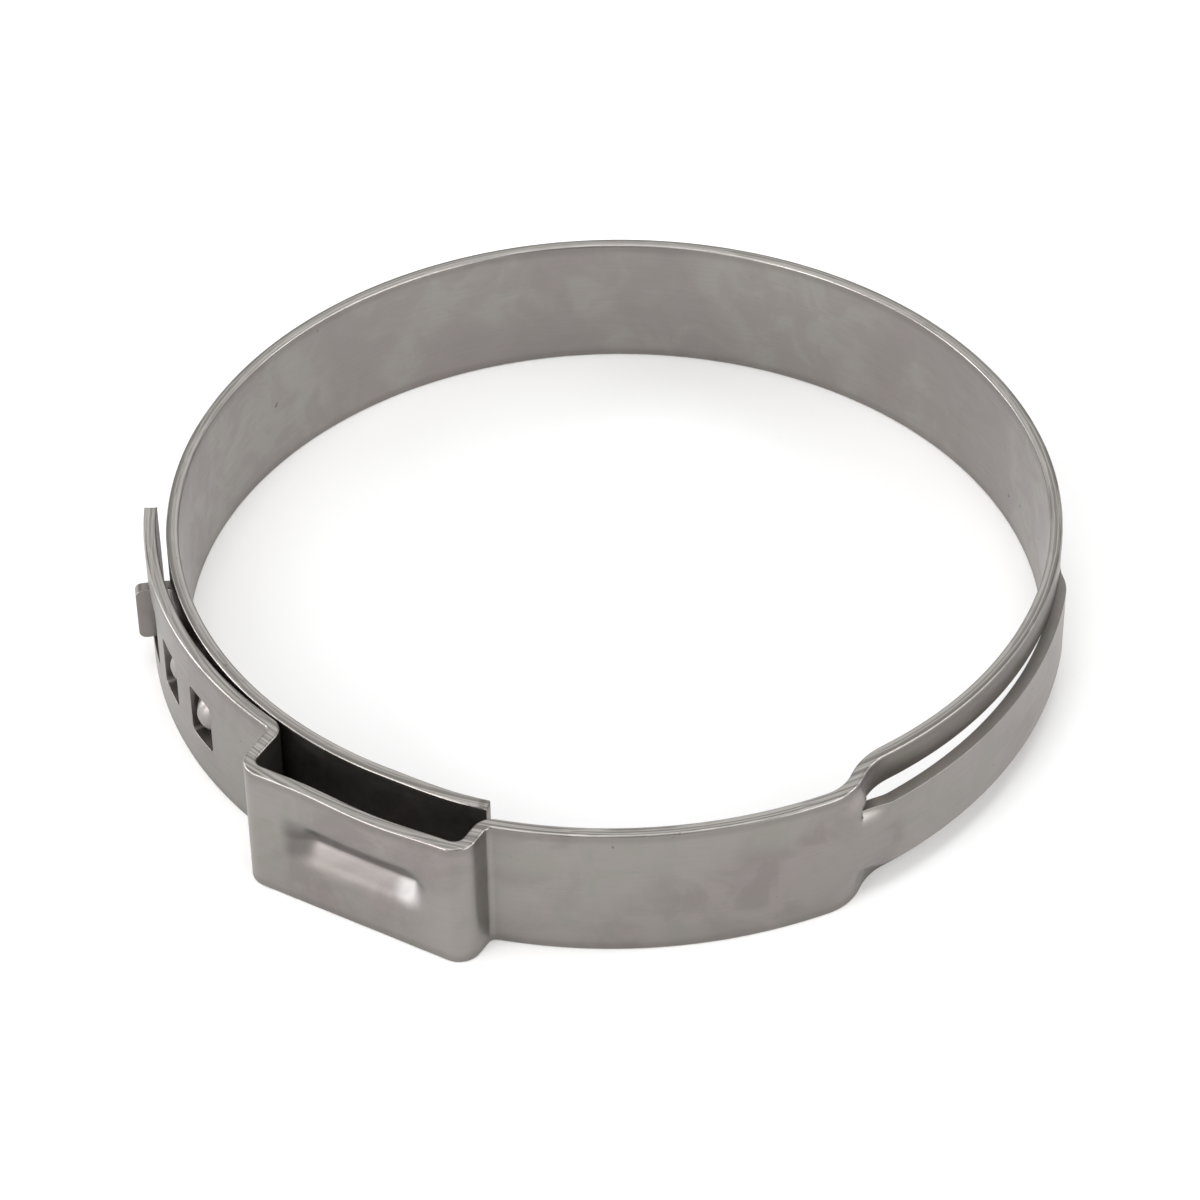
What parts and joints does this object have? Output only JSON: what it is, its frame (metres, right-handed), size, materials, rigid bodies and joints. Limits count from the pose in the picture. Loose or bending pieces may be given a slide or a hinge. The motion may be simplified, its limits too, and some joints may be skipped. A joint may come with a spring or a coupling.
{
  "type": "ear hose clamp",
  "caption": "Stepless single-ear hose clamp: one rolled steel band with a pressed ear, hooked windows, a joggle and a tongue that closes the bore.",
  "frame": {"origin": "centre of the bore, at the middle of the band's width", "axes": "+Z along the bore's axis, +X towards the raised strip of the tongue channel, -X towards the loose outer end, -Y towards the ear's side"},
  "size_m": [0.0437, 0.0442, 0.007],
  "materials": {
    "stainless_strip": "satin rolled stainless strip"
  },
  "bodies": {
    "root": {"clamp_band": "stainless_strip"}
  },
  "joints": []
}
